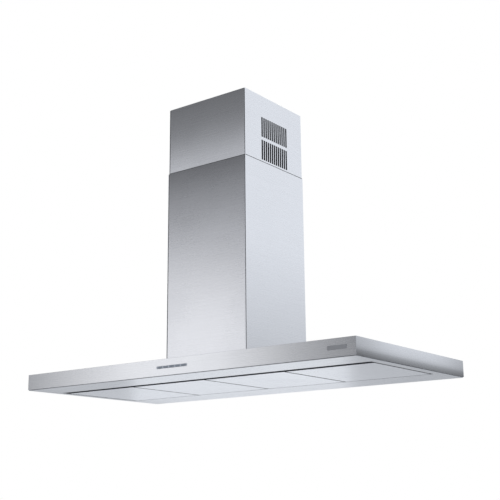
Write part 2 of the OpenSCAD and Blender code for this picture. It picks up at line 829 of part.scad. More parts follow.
// A folded steel panel with a stub pin at each end of its rear edge
module access_panel(i) {
    t = canopy_sheet;
    depth = panel_y1 - panel_y0;
    pin_l = panel_gap/2 - 0.4;
    cy = (panel_y0 + panel_y1)/2;
    translate([panel_x(i), 0, 0]) color(steel) {
        difference() {
            translate([0, cy, tray_z]) slab(panel_w, depth, panel_edge_h, panel_corner_r);
            translate([0, cy, tray_z + t])
                slab(panel_w - 2*t, depth - 2*t, panel_edge_h, panel_corner_r - t);
        }
        for (s = [-1, 1])
            mirror([s < 0 ? 1 : 0, 0, 0])
                rod_x([panel_w/2 - t/2, hinge_y, hinge_z], hinge_pin_r, pin_l + t/2);
    }
}

// ---------- light, controls and wiring ----------

module led_strip() {
    t = led_wall;
    color(galvanised) difference() {
        block([-led_l/2, led_y, rack_z - led_h], [led_l/2, led_y + led_d, rack_z]);
        block([-led_l/2 - 1, led_y + t, rack_z - led_h - 1], [led_l/2 + 1, led_y + led_d - t, rack_z - t]);
    }
}

module led_lens() {
    t = led_wall;
    color("white") block([-led_l/2, led_y + t, rack_z - led_h],
                         [led_l/2, led_y + led_d - t, rack_z - led_h + 2]);
}

module control_bezel() {
    color(dark) difference() {
        union() {
            translate([0, front_y - bezel_face, button_z]) rotate([-90, 0, 0])
                slab(bezel_w, bezel_h, canopy_sheet + bezel_face + eps, 1.4);
            translate([0, front_y + canopy_sheet, button_z]) rotate([-90, 0, 0])
                slab(bezel_w + 12, bezel_h + 10, bezel_flange_t, 2);
            for (s = [-1, 1])
                rod_y([s*(bezel_w/2 + bezel_post_r), bezel_back_y - eps, button_z], bezel_post_r,
                      board_y - bezel_back_y + eps);
        }
        for (i = [1:button_count])
            translate([button_x(i), front_y - 2, button_z]) rotate([-90, 0, 0])
                slab(button_w + 2*button_gap, button_h + 2*button_gap, 8, 0.8);
    }
}

function button_x(i) = (i - (button_count + 1)/2)*button_pitch;

// A key cap with a retaining flange and a stem that meets its switch
module button(i) {
    flange_y = bezel_back_y + slide_clearance;
    stem_y = flange_y + button_flange_t;
    translate([button_x(i), 0, button_z]) color(dark) {
        translate([0, front_y - button_face, 0]) rotate([-90, 0, 0])
            slab(button_w, button_h, flange_y - front_y + button_face + eps, 0.6);
        translate([0, flange_y, 0]) rotate([-90, 0, 0])
            slab(button_w + 2.6, button_h + 2.6, button_flange_t, 0.6);
        rod_y([0, stem_y - eps, 0], 1.5, switch_y - button_travel - slide_clearance - stem_y);
    }
}

module control_board() {
    color([0.1, 0.35, 0.2]) {
        block([-board_half_w, board_y, button_z - 9], [board_half_w, board_y + board_t, button_z + 9]);
        for (i = [1:button_count])
            block([button_x(i) - 3, switch_y, button_z - 3], [button_x(i) + 3, board_y + eps, button_z + 3]);
    }
}

module electronics_box() {
    t = 2;
    color(dark) difference() {
        block([supply_x0, supply_y0, base_z + 4], [supply_x1, supply_y1, roof_under_z - 1]);
        block([supply_x0 + t, supply_y0 + t, base_z + 4 + t],
              [supply_x1 - t, supply_y1 - t, roof_under_z - 1 - t]);
    }
}

// A round wire along axis-aligned runs through the points p
module wire(p, r) {
    for (k = [0:len(p) - 2]) {
        a = [for (j = [0:2]) min(p[k][j], p[k + 1][j])];
        d = p[k + 1] - p[k];
        if (d[0] != 0) rod_x(a, r, abs(d[0]));
        if (d[1] != 0) rod_y(a, r, abs(d[1]));
        if (d[2] != 0) rod_z(a, r, abs(d[2]));
        if (k > 0) translate(p[k]) sphere(r);
    }
}

module wiring_loom() {
    board_back = board_y + board_t;
    motor_wire_x = motor_x0 + 10;
    color(dark) {
        wire([[-40, board_back, button_z], [-40, board_back + 4, button_z],
              [supply_x1, board_back + 4, button_z]], 2);
        wire([[gland_x, supply_y1, wire_z], [gland_x, gland_y, wire_z],
              [gland_x, gland_y, box_top_z - gland_tail]], 2.8);
        wire([[motor_wire_x, supply_y1, wire_z], [motor_wire_x, gland_y + 8, wire_z],
              [motor_wire_x, gland_y + 8, fan_z], [motor_wire_x, fan_y - motor_r, fan_z]], 1.8);
    }
}

// Nylon gland for the supply cable, through the top of the blower's case
module cable_gland() {
    color(dark) translate([gland_x, gland_y, box_top_z]) difference() {
        union() {
            cylinder(r = 13, h = 6, $fn = 6);
            cylinder(r = 10, h = 16);
            translate([0, 0, -gland_tail]) cylinder(r = gland_thread_r, h = gland_tail + 1);
        }
        translate([0, 0, -gland_tail - 1]) cylinder(r = gland_bore_r, h = gland_tail + 20);
    }
}

module badge_plate() {
    color(dark) translate([badge_x, front_y - badge_t, button_z]) rotate([-90, 0, 0])
        slab(badge_w, badge_h, badge_t, 2);
}

module canopy_screws() {
    color(steel) roof_screw_places() {
        rod_z([0, 0, roof_under_z - 2.2], 2*roof_screw_r, 2.2);
        rod_z([0, 0, roof_under_z - eps], roof_screw_r, 8);
    }
}

// ---------- nodes ----------

ceiling_plate();
for (i = [1:4]) upper_upright(i);
brace_plate();
upper_chimney_front();
upper_chimney_rear();
air_deflector();
upper_duct();
upright_screws();
for (i = [1:4]) lower_upright(i);
telescope_bolts();
lower_chimney_front();
lower_chimney_rear();
lower_duct();
motor_box();
scroll_left();
scroll_right();
motor_bracket();
motor();
capacitor();
outlet_collar();
canopy_shell();
canopy_tray();
filter_rack();
for (i = [1:panel_count]) filter_frame(i);
filter_meshes();
led_strip();
led_lens();
control_bezel();
control_board();
electronics_box();
wiring_loom();
cable_gland();
badge_plate();
canopy_screws();
for (i = [1:panel_count]) access_panel(i);
for (i = [1:panel_count]) filter_latch(i);
for (i = [1:button_count]) button(i);
fan_wheel();
fan_shaft();
damper_flap_front();
damper_flap_rear();
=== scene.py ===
import math

import bmesh
import bpy
from mathutils import Matrix, Vector


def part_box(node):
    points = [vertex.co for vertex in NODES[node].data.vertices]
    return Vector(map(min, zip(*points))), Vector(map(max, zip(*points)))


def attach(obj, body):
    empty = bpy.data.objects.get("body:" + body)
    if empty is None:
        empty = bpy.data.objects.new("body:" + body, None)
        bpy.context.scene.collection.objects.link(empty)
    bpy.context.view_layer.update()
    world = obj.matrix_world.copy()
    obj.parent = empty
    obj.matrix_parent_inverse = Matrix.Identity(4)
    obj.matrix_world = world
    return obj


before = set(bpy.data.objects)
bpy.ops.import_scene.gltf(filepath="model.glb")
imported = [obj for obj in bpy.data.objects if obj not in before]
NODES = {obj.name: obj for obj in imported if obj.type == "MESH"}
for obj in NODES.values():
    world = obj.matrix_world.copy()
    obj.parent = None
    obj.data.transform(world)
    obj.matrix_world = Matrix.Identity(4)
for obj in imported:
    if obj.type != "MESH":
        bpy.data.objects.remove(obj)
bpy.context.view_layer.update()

# ---------------------------------------------------------------- camera, fitted to the photo's edges
CAMERA_PLACE = (1.84648, -2.38406, -1.21726)
CAMERA_YAW = 0.64521      # radians to the left of +Y
CAMERA_PITCH = 0.24725    # radians above the horizon
CAMERA_ROLL = -0.00896
CAMERA_LENS = 71.674      # mm
CAMERA_SENSOR = 36.0      # mm


def make_camera():
    data = bpy.data.cameras.new("camera")
    data.lens = CAMERA_LENS
    data.sensor_width = CAMERA_SENSOR
    cam = bpy.data.objects.new("camera", data)
    bpy.context.collection.objects.link(cam)
    cy, sy = math.cos(CAMERA_YAW), math.sin(CAMERA_YAW)
    cp, sp = math.cos(CAMERA_PITCH), math.sin(CAMERA_PITCH)
    forward = Vector((-sy * cp, cy * cp, sp))
    level = Vector((cy, sy, 0.0))
    up = level.cross(forward)
    cr, sr = math.cos(CAMERA_ROLL), math.sin(CAMERA_ROLL)
    x_axis = cr * level + sr * up
    y_axis = -sr * level + cr * up
    turn = Matrix((x_axis, y_axis, -forward)).transposed().to_4x4()
    cam.matrix_world = Matrix.Translation(CAMERA_PLACE) @ turn
    bpy.context.scene.camera = cam


make_camera()

# ---------------------------------------------------------------- node helpers
NOISE_LOW, NOISE_HIGH = 0.3, 0.7     # a noise texture seldom leaves this range
EDGE_SHARP, EDGE_FLAT = 0.80, 0.985  # cosine between the softened and the true normal


class Tree:
    """A material's node tree with short ways to add and join nodes."""

    def __init__(self, name):
        self.mat = bpy.data.materials.new(name)
        self.mat.use_nodes = True
        self.t = self.mat.node_tree
        self.shader = self.t.nodes["Principled BSDF"]
        self.place = self.add("ShaderNodeTexCoord")

    def add(self, kind, **props):
        node = self.t.nodes.new(kind)
        for key, value in props.items():
            setattr(node, key, value)
        return node

    def put(self, socket, value):
        if isinstance(value, bpy.types.NodeSocket):
            self.t.links.new(value, socket)
        else:
            socket.default_value = value

    def math(self, op, a, b=0.0, clamp=False):
        node = self.add("ShaderNodeMath", operation=op, use_clamp=clamp)
        self.put(node.inputs[0], a)
        self.put(node.inputs[1], b)
        return node.outputs[0]

    def scaled(self, scale):
        """The place on the object, stretched by a scale for each axis, in cells per metre."""
        node = self.add("ShaderNodeMapping")
        self.put(node.inputs["Vector"], self.place.outputs["Object"])
        node.inputs["Scale"].default_value = scale
        return node.outputs[0]

    def noise(self, scale, detail=3.0):
        node = self.add("ShaderNodeTexNoise")
        self.put(node.inputs["Vector"], self.scaled(scale))
        node.inputs["Scale"].default_value = 1.0
        node.inputs["Detail"].default_value = detail
        return node.outputs["Fac"]

    def span(self, value, low, high, to_low, to_high):
        node = self.add("ShaderNodeMapRange", clamp=True)
        self.put(node.inputs["Value"], value)
        for key, number in (
            ("From Min", low), ("From Max", high), ("To Min", to_low), ("To Max", to_high),
        ):
            node.inputs[key].default_value = number
        return node.outputs[0]

    def spread(self, noise, to_low, to_high):
        """A noise stretched over a range of its own."""
        return self.span(noise, NOISE_LOW, NOISE_HIGH, to_low, to_high)

    def mix(self, share, a, b):
        node = self.add("ShaderNodeMix", data_type="RGBA")
        self.put(node.inputs[0], share)
        self.put(node.inputs[6], a)
        self.put(node.inputs[7], b)
        return node.outputs[2]

    def mix_number(self, share, a, b):
        node = self.add("ShaderNodeMix", data_type="FLOAT")
        self.put(node.inputs[0], share)
        self.put(node.inputs[2], a)
        self.put(node.inputs[3], b)
        return node.outputs[0]

    def shade(self, colour, share):
        """The colour times a number."""
        node = self.add("ShaderNodeVectorMath", operation="SCALE")
        self.put(node.inputs[0], colour)
        self.put(node.inputs["Scale"], share)
        return node.outputs[0]

    def bump(self, height, strength, distance, normal=None):
        node = self.add("ShaderNodeBump")
        self.put(node.inputs["Height"], height)
        node.inputs["Strength"].default_value = strength
        node.inputs["Distance"].default_value = distance
        if normal is not None:
            self.put(node.inputs["Normal"], normal)
        return node.outputs[0]

    def edges(self, radius):
        """(softened normal, 0 to 1 mask of the edges)."""
        soft = self.add("ShaderNodeBevel", samples=4)
        soft.inputs["Radius"].default_value = radius
        flat = self.add("ShaderNodeNewGeometry")
        dot = self.add("ShaderNodeVectorMath", operation="DOT_PRODUCT")
        self.put(dot.inputs[0], soft.outputs[0])
        self.put(dot.inputs[1], flat.outputs["Normal"])
        return soft.outputs[0], self.span(dot.outputs["Value"], EDGE_SHARP, EDGE_FLAT, 1.0, 0.0)

    def ramp(self, value, points):
        """A number read off the points (place, value), which are in rising order of place."""
        curve = self.add("ShaderNodeFloatCurve")
        low, high = points[0][0], points[-1][0]
        self.put(curve.inputs["Value"], self.span(value, low, high, 0.0, 1.0))
        line = curve.mapping.curves[0]
        while len(line.points) < len(points):
            line.points.new(0.5, 0.5)
        for spot, (place, level) in zip(line.points, points):
            spot.location = ((place - low) / (high - low), level)
            spot.handle_type = "AUTO_CLAMPED"
        curve.mapping.update()
        return curve.outputs[0]

    def axis(self, name):
        node = self.add("ShaderNodeSeparateXYZ")
        self.put(node.inputs[0], self.place.outputs["Object"])
        return node.outputs[name]

    def facing(self, name):
        """How much the surface faces along one axis, 0 to 1."""
        node = self.add("ShaderNodeSeparateXYZ")
        self.put(node.inputs[0], self.place.outputs["Normal"])
        return self.math("ABSOLUTE", node.outputs[name])

    def finish(self, colour, rough, normal=None, metal=None):
        self.put(self.shader.inputs["Base Color"], colour)
        self.put(self.shader.inputs["Roughness"], rough)
        if normal is not None:
            self.put(self.shader.inputs["Normal"], normal)
        if metal is not None:
            self.shader.inputs["Metallic"].default_value = metal
        return self.mat


def lighter(tint, times, lift=0.0):
    """The tint of a worn edge."""
    return tuple(min(1.0, c * times + lift) for c in tint) + (1.0,)


def even(cells):
    """The same scale along all three axes."""
    return (cells, cells, cells)


# ---------------------------------------------------------------- materials
# brushing marks, in cells per metre across and along them
FINE_ACROSS, FINE_ALONG = 1500.0, 6.0
BROAD_ACROSS, BROAD_ALONG = 260.0, 3.0
STREAK_DETAIL = 2.0
# how much each pattern lightens and darkens the brushed steel
FINE_TONE, BROAD_TONE = 0.022, 0.008
SMUDGE_CELLS, SMUDGE_DARK, SMUDGE_LIGHT = 5.0, 0.975, 1.015
# its edges
SHEET_EDGE = 0.0009   # m
EDGE_SHARE, EDGE_LIGHTER, EDGE_SMOOTHER = 0.48, 1.25, 0.08
FINE_DEPTH = 0.018


def streaks(tree):
    """Fine and broad brushing marks, level round the walls and along X on flat faces."""
    side = tree.span(tree.facing("X"), 0.45, 0.55, 0.0, 1.0)
    pairs = []
    for cross, along in ((FINE_ACROSS, FINE_ALONG), (BROAD_ACROSS, BROAD_ALONG)):
        over = tree.noise((along, cross, cross), STREAK_DETAIL)
        past = tree.noise((cross, along, cross), STREAK_DETAIL)
        pairs.append(tree.mix_number(side, over, past))
    return pairs


def brushed(name, tint, rough, painted_light=()):
    """Brushed sheet steel.

    Each entry of the last argument is (axis, face, [(place, share), ...]): painted light and shade,
    the colour made lighter or darker slowly along an axis, on the faces that look along the axis
    'face', on the upright faces for "sides", or on all of them for "".
    """
    t = Tree(name)
    fine, broad = streaks(t)
    smudge = t.noise(even(SMUDGE_CELLS))
    marks = t.math("ADD", t.spread(fine, -FINE_TONE, FINE_TONE), t.spread(broad, -BROAD_TONE, BROAD_TONE))
    share = t.math("ADD", marks, t.spread(smudge, SMUDGE_DARK, SMUDGE_LIGHT))
    # painted light and shade: the tint is multiplied by a ramp along an axis
    for axis, face, points in painted_light:
        level = t.ramp(t.axis(axis), points)
        if face == "sides":
            level = t.mix_number(t.span(t.facing("Z"), 0.3, 0.5, 1.0, 0.0), 1.0, level)
        elif face:
            level = t.mix_number(t.span(t.facing(face), 0.6, 0.8, 0.0, 1.0), 1.0, level)
        share = t.math("MULTIPLY", share, level)
    soft, rim = t.edges(SHEET_EDGE)
    worn = t.math("MULTIPLY", rim, t.span(smudge, 0.35, 0.65, 0.3, 1.0))
    edge_share = t.math("MULTIPLY", worn, EDGE_SHARE)
    colour = t.mix(edge_share, t.shade(tint, share), lighter(tint, EDGE_LIGHTER))
    gloss = t.math(
        "ADD", t.spread(fine, rough - 0.03, rough + 0.03), t.span(smudge, 0.35, 0.7, -0.02, 0.04),
    )
    gloss = t.math("SUBTRACT", gloss, t.math("MULTIPLY", worn, EDGE_SMOOTHER), clamp=True)
    return t.finish(colour, gloss, t.bump(fine, FINE_DEPTH, 0.0002, soft), metal=1.0)


def galvanised(name, tint, rough):
    """Zinc-coated sheet with its patches of crystals."""
    t = Tree(name)
    cells = t.add("ShaderNodeTexVoronoi")
    t.put(cells.inputs["Vector"], t.scaled(even(70.0)))
    cells.inputs["Scale"].default_value = 1.0
    parts = t.add("ShaderNodeSeparateColor")
    t.put(parts.inputs[0], cells.outputs["Color"])
    patch = parts.outputs[0]
    cloud = t.noise(even(9.0))
    share = t.math("ADD", t.span(patch, 0.0, 1.0, 0.86, 1.04), t.spread(cloud, -0.05, 0.05))
    soft, rim = t.edges(0.0006)
    bare_zinc = (0.82, 0.84, 0.86, 1.0)
    colour = t.mix(t.math("MULTIPLY", rim, 0.4), t.shade(tint, share), bare_zinc)
    gloss = t.math(
        "ADD", t.span(patch, 0.0, 1.0, rough - 0.09, rough + 0.09), t.spread(cloud, -0.04, 0.06),
    )
    return t.finish(colour, gloss, t.bump(patch, 0.05, 0.0002, soft), metal=0.9)


def machined(name, tint, rough, metal=1.0, speck=900.0):
    """Small turned, pressed or cast metal parts."""
    t = Tree(name)
    grit = t.noise(even(speck))
    cloud = t.noise(even(40.0))
    share = t.math("ADD", t.spread(grit, -0.05, 0.05), t.spread(cloud, 0.88, 1.05))
    soft, rim = t.edges(0.0004)
    colour = t.mix(t.math("MULTIPLY", rim, 0.4), t.shade(tint, share), lighter(tint, 1.3))
    gloss = t.math("ADD", t.spread(grit, rough - 0.05, rough + 0.07), t.spread(cloud, -0.03, 0.05))
    return t.finish(colour, gloss, t.bump(grit, 0.12, 0.0001, soft), metal=metal)


def moulded(name, tint, rough, grain=700.0, depth=0.15, gleam=0.45):
    """Moulded plastic or rubber with a fine spark-eroded surface."""
    t = Tree(name)
    grit = t.noise(even(grain), 4.0)
    cloud = t.noise(even(25.0))
    soft, rim = t.edges(0.0005)
    share = t.math("ADD", t.spread(grit, -0.06, 0.06), t.spread(cloud, 0.93, 1.05))
    light = lighter(tint, 1.5, 0.03)
    colour = t.mix(t.math("MULTIPLY", rim, 0.25), t.shade(tint, share), light)
    gloss = t.math("ADD", t.spread(grit, rough - 0.06, rough + 0.08), t.spread(cloud, -0.04, 0.05))
    t.shader.inputs["Specular IOR Level"].default_value = gleam
    return t.finish(colour, gloss, t.bump(grit, depth, 0.0002, soft), metal=0.0)


def board(name):
    """Green circuit board with a weave under the lacquer and lighter tracks."""
    t = Tree(name)
    weave = t.noise(even(1400.0), 1.0)
    track = t.add("ShaderNodeTexBrick")
    t.put(track.inputs["Vector"], t.scaled(even(160.0)))
    for key, value in (
        ("Color1", (0.012, 0.10, 0.035, 1.0)),
        ("Color2", (0.016, 0.13, 0.05, 1.0)),
        ("Mortar", (0.05, 0.24, 0.09, 1.0)),
        ("Scale", 1.0),
        ("Mortar Size", 0.03),
    ):
        track.inputs[key].default_value = value
    colour = t.shade(track.outputs["Color"], t.spread(weave, 0.85, 1.1))
    gloss = t.spread(weave, 0.25, 0.42)
    t.shader.inputs["Coat Weight"].default_value = 0.5
    return t.finish(colour, gloss, t.bump(weave, 0.08, 0.0001), metal=0.0)


def diffuser(name):
    """Milky lens strip with a fine prism pattern along it."""
    t = Tree(name)
    prism = t.add("ShaderNodeTexWave", wave_type="BANDS", bands_direction="X")
    t.put(prism.inputs["Vector"], t.place.outputs["Object"])
    prism.inputs["Scale"].default_value = 180.0
    cloud = t.noise(even(30.0), 2.0)
    dull, clear = (0.80, 0.82, 0.83, 1.0), (0.88, 0.89, 0.89, 1.0)
    colour = t.mix(t.spread(cloud, 0.0, 1.0), dull, clear)
    t.shader.inputs["Transmission Weight"].default_value = 0.25
    t.shader.inputs["IOR"].default_value = 1.49
    gloss = t.spread(cloud, 0.28, 0.4)
    return t.finish(colour, gloss, t.bump(prism.outputs["Fac"], 0.2, 0.0002), metal=0.0)


STEEL = (0.695, 0.70, 0.72)
# painted light: the two front-sheet tints below are lighter copies of the steel tint
LOWER_FRONT_LIT_TINT = (0.835, 0.84, 0.87)
UPPER_FRONT_LIT_TINT = (0.95, 0.955, 0.98)
UNDERSIDE = (0.60, 0.61, 0.64)
SHEET_ROUGH, UNDER_ROUGH = 0.27, 0.25

# painted light and shade: places in metres, and the share of the tint there
TRAY_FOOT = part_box("canopy_tray")[0].z
# painted shade: the upright folded edges of the tray and panels darker, as in the shade of the gaps
FOLD_PAINTED_SHADE = ("Z", "sides", [(TRAY_FOOT, 0.75), (TRAY_FOOT + 0.0012, 0.38), (TRAY_FOOT + 0.012, 0.34)])
# painted shade: the underside panels and tray darker towards both ends
PANEL_ENDS_PAINTED_SHADE = ("X", "Z", [(-0.58, 1.0), (-0.3, 0.94), (0.25, 0.93), (0.45, 0.86), (0.58, 0.84)])
TRAY_ENDS_PAINTED_SHADE = (
    "X", "Z", [(-0.6, 0.66), (-0.5, 0.80), (-0.3, 0.88), (0.1, 0.86), (0.4, 0.80), (0.6, 0.66)],
)
# painted reflection: the canopy's front lightest near the middle, darker towards both ends
CANOPY_FRONT_PAINTED_REFLECTION = (
    "X", "Y",
    [(-0.6, 0.69), (-0.45, 0.76), (-0.3, 0.86), (-0.1, 0.98), (0.1, 1.0), (0.35, 0.80), (0.6, 0.64)],
)
# painted shade: the canopy's sides darker towards the bottom
CANOPY_SIDE_PAINTED_SHADE = ("Z", "X", [(-0.873, 0.22), (-0.862, 0.40), (-0.85, 0.72), (-0.826, 0.88)])
# painted reflection: the canopy's sides lightest near the middle along Y
CANOPY_SIDE_PAINTED_REFLECTION = ("Y", "X", [(-0.3, 0.70), (-0.05, 1.0), (0.1, 0.98), (0.3, 0.64)])
# painted reflection: each chimney front lightest at its bottom, darker towards its top
UPPER_FRONT_PAINTED_REFLECTION = (
    "Z", "",
    [(-0.24, 1.0), (-0.19, 0.87), (-0.15, 0.70), (-0.11, 0.54), (-0.07, 0.43), (0.0, 0.325)],
)
LOWER_FRONT_PAINTED_REFLECTION = (
    "Z", "", [(-0.82, 0.82), (-0.6, 0.80), (-0.46, 0.77), (-0.34, 0.61), (-0.216, 0.35)],
)
# painted shade: the chimney's rear and side sheets darker towards the bottom
REAR_PAINTED_SHADE = ("Z", "", [(-0.826, 0.72), (-0.6, 0.90), (-0.4, 1.0), (0.0, 0.99)])

# the finish for each colour that part.scad gives
BASE = {
    # the canopy's steel, with painted reflection and shade on its front and sides
    "brushed_steel": brushed(
        "steel_canopy", STEEL, SHEET_ROUGH, [CANOPY_FRONT_PAINTED_REFLECTION, CANOPY_SIDE_PAINTED_SHADE, CANOPY_SIDE_PAINTED_REFLECTION],
    ),
    "galvanised": galvanised("zinc_sheet", (0.56, 0.58, 0.60), 0.42),
    "aluminium": machined("aluminium_pressed", (0.74, 0.745, 0.75), 0.34, speck=500.0),
    "mesh": machined("aluminium_mesh", (0.62, 0.63, 0.64), 0.40, speck=1200.0),
    "zinc_screw": machined("screw_plated", (0.68, 0.69, 0.70), 0.28),
    "shaft_steel": machined("shaft_ground", (0.50, 0.50, 0.51), 0.22),
    "motor_case": machined("motor_lacquer", (0.10, 0.105, 0.115), 0.45, metal=0.55),
    "black_plastic": moulded("plastic_black", (0.022, 0.022, 0.024), 0.46),
    "wire_sheath": moulded("sheath_vinyl", (0.035, 0.035, 0.038), 0.38, grain=300.0, depth=0.05),
    "lens": diffuser("lens_milky"),
    "bezel": moulded("bezel_grey", (0.54, 0.57, 0.62), 0.40, grain=1100.0, depth=0.06),
    "key": moulded("key_grey", (0.24, 0.265, 0.31), 0.38, grain=1100.0, depth=0.06),
    "circuit_board": board("board_green"),
    "badge": brushed("badge_satin", (0.30, 0.305, 0.32), 0.36),
}
# lit and shaded copies of the one brushed steel: painted light and shade on the chimney's sheets
FRONT_UPPER = brushed("steel_upper_front", UPPER_FRONT_LIT_TINT, SHEET_ROUGH, [UPPER_FRONT_PAINTED_REFLECTION])
FRONT_LOWER = brushed("steel_lower_front", LOWER_FRONT_LIT_TINT, SHEET_ROUGH, [LOWER_FRONT_PAINTED_REFLECTION])
REAR = brushed("steel_chimney_rear", STEEL, SHEET_ROUGH, [REAR_PAINTED_SHADE])
MATT = moulded("plastic_matt", (0.016, 0.016, 0.018), 0.85, gleam=0.12)
PANEL = brushed("steel_panel", UNDERSIDE, UNDER_ROUGH, [FOLD_PAINTED_SHADE, PANEL_ENDS_PAINTED_SHADE])
TRAY = brushed("steel_tray", UNDERSIDE, UNDER_ROUGH, [FOLD_PAINTED_SHADE, TRAY_ENDS_PAINTED_SHADE])
FELT = moulded("felt_black", (0.02, 0.02, 0.022), 0.85, grain=2400.0, depth=0.5)
RUBBER = moulded("rubber_grey", (0.030, 0.031, 0.034), 0.6, grain=900.0)

# the nodes with a finish of their own
OWN = {
    "upper_chimney_front": FRONT_UPPER,
    "lower_chimney_front": FRONT_LOWER,
    "upper_chimney_rear": REAR,
    "lower_chimney_rear": REAR,
    "canopy_tray": TRAY,
    "air_deflector": MATT,
}
OWN.update({f"access_panel_{i}": PANEL for i in range(1, 5)})


def dress():
    """Gives every CAD node its finish."""
    for name, node in NODES.items():
        for held in node.material_slots:
            held.material = OWN.get(name) or BASE[held.material.name.split(".")[0]]


dress()


# ---------------------------------------------------------------- pieces
def build(name, bm, material, body):
    """The mesh as a piece that rides on a CAD body and takes its finish from a slot."""
    mesh = bpy.data.meshes.new(name)
    bmesh.ops.recalc_face_normals(bm, faces=bm.faces)
    bm.to_mesh(mesh)
    bm.free()
    mesh.materials.append(material)
    piece = bpy.data.objects.new(name, mesh)
    bpy.context.collection.objects.link(piece)
    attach(piece, body)
    return piece


def join(bm, a, b):
    """The faces between two closed loops of points."""
    for i in range(len(a)):
        j = (i + 1) % len(a)
        bm.faces.new((a[i], a[j], b[j], b[i]))


CORNER_STEPS = 6


def outline(half_x, half_y, radius):
    """Points round a rectangle with rounded corners."""
    spots = []
    for k, (sx, sy) in enumerate(((1, 1), (-1, 1), (-1, -1), (1, -1))):
        for i in range(CORNER_STEPS + 1):
            a = math.radians(90 * k + 90 * i / CORNER_STEPS)
            x = sx * (half_x - radius) + radius * math.cos(a)
            y = sy * (half_y - radius) + radius * math.sin(a)
            spots.append((x, y))
    return spots


def band(name, inner, profile, material, body, centre=(0.0, 0.0)):
    """A closed strip: (out, z) points swept round an outline given as (half_x, half_y, radius)."""
    half_x, half_y, radius = inner
    cx, cy = centre
    bm = bmesh.new()
    loops = [
        [
            bm.verts.new((cx + x, cy + y, z))
            for x, y in outline(half_x + out, half_y + out, radius + out)
        ]
        for out, z in profile
    ]
    for a, b in zip(loops, loops[1:] + loops[:1]):
        join(bm, a, b)
    return build(name, bm, material, body)


def rib(bm, low, high, bevel):
    """A bevelled bar between two corners."""
    made = bmesh.ops.create_cube(bm, size=1.0)["verts"]
    low, size = Vector(low), Vector(high) - Vector(low)
    for v in made:
        v.co = low + size * (v.co + Vector((0.5, 0.5, 0.5)))
    edges = list({e for v in made for e in v.link_edges})
    bmesh.ops.bevel(bm, geom=edges, offset=bevel, segments=2, affect="EDGES", profile=0.7)


def footprint(node):
    """The lowest and highest corners of a node's flat underside."""
    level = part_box(node)[0].z + 0.0001
    flat = [v.co for v in NODES[node].data.vertices if v.co.z < level]
    return (
        Vector((min(v.x for v in flat), min(v.y for v in flat), level)),
        Vector((max(v.x for v in flat), max(v.y for v in flat), level)),
    )


PANELS = [footprint(f"access_panel_{i}") for i in range(1, 5)]
PANEL_GAP = PANELS[1][0].x - PANELS[0][1].x
UPPER_LOW, UPPER_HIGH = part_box("upper_chimney_rear")
LOWER_LOW, LOWER_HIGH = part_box("lower_chimney_rear")
TRIM = 0.0006         # thickness of the rubber edges
TRIM_SEAT = 0.00003   # between a rubber edge and its sheet
SHEET_CORNER = 0.002  # bend radius of the sheets


def seam_strip():
    """Dark felt wiper in the gap between the two chimney sections, seen as a line over the lower one:
    painted shade, a dark piece standing in for the shade of the seam.
    """
    slack = 0.00008
    sheet = 0.0008
    inner = (UPPER_HIGH.x + slack, -UPPER_LOW.y + slack, SHEET_CORNER)
    z = LOWER_HIGH.z
    thick = LOWER_HIGH.x - sheet - inner[0] - slack
    profile = [
        (0.0, z - 0.006),
        (thick, z - 0.006),
        (thick, z + 0.0016),
        (thick * 0.6, z + 0.0024),
        (0.0, z + 0.0026),
    ]
    band("seam_felt_shade", inner, profile, FELT, "canopy")


def joint_shade_cords():
    """Dark rubber cords set back in the open joints beside the front sheets: painted shade, dark pieces
    that deepen the shade in the joints.
    """
    set_back, thick, end, bevel = 0.0010, 0.0006, 0.001, 0.0002
    for part, body in (("upper", "ceiling_mount"), ("lower", "canopy")):
        front_low, front_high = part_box(f"{part}_chimney_front")
        rear_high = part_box(f"{part}_chimney_rear")[1]
        gap_in, gap_out = front_high.x + 0.0001, rear_high.x - 0.0009
        y0 = front_low.y + set_back
        z0, z1 = front_low.z + end, front_high.z - end
        bm = bmesh.new()
        for side in (-1, 1):
            xs = sorted((side * gap_in, side * gap_out))
            rib(bm, (xs[0], y0, z0), (xs[1], y0 + thick, z1), bevel)
        build(f"{part}_joint_shade_seal", bm, RUBBER, body)


def foot_bead():
    """A bead of sealant where the chimney stands on the canopy."""
    z = LOWER_LOW.z
    inner = (LOWER_HIGH.x + 0.00005, -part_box("lower_chimney_front")[0].y + 0.00005, 0.0021)
    profile = [(0.0, z + 0.0001), (0.0011, z + 0.0001), (0.0006, z + 0.0006), (0.0, z + 0.0011)]
    band("foot_bead", inner, profile, RUBBER, "canopy")


def air_divider():
    """The thin vane below the deflector's wedge, which parts the air to both grilles."""
    low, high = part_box("air_deflector")
    sheet, drop, thick = 0.0012, 0.075, 0.0016
    foot, overlap, bevel = 0.016, 0.001, 0.0005
    bm = bmesh.new()
    rib(
        bm,
        (-thick / 2, low.y + sheet, low.z + foot),
        (thick / 2, high.y - sheet, high.z - drop + overlap),
        bevel,
    )
    build("air_divider", bm, MATT, "ceiling_mount")


def panel_shade_trim(index):
    """The dark rubber edge round a panel's fold: painted shade, a dark piece that deepens the shade lines
    between the panels.
    """
    low, high = PANELS[index - 1]
    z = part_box(f"access_panel_{index}")[0].z
    profile = [(TRIM_SEAT, z + 0.0003), (TRIM, z + 0.0006), (TRIM, z + 0.0070), (TRIM_SEAT, z + 0.0073)]
    half = (high - low) / 2
    middle = (high + low) / 2
    inner = (half.x, half.y, SHEET_CORNER)
    band(f"panel_shade_trim_{index}", inner, profile, RUBBER, f"panel_{index}", middle.xy)


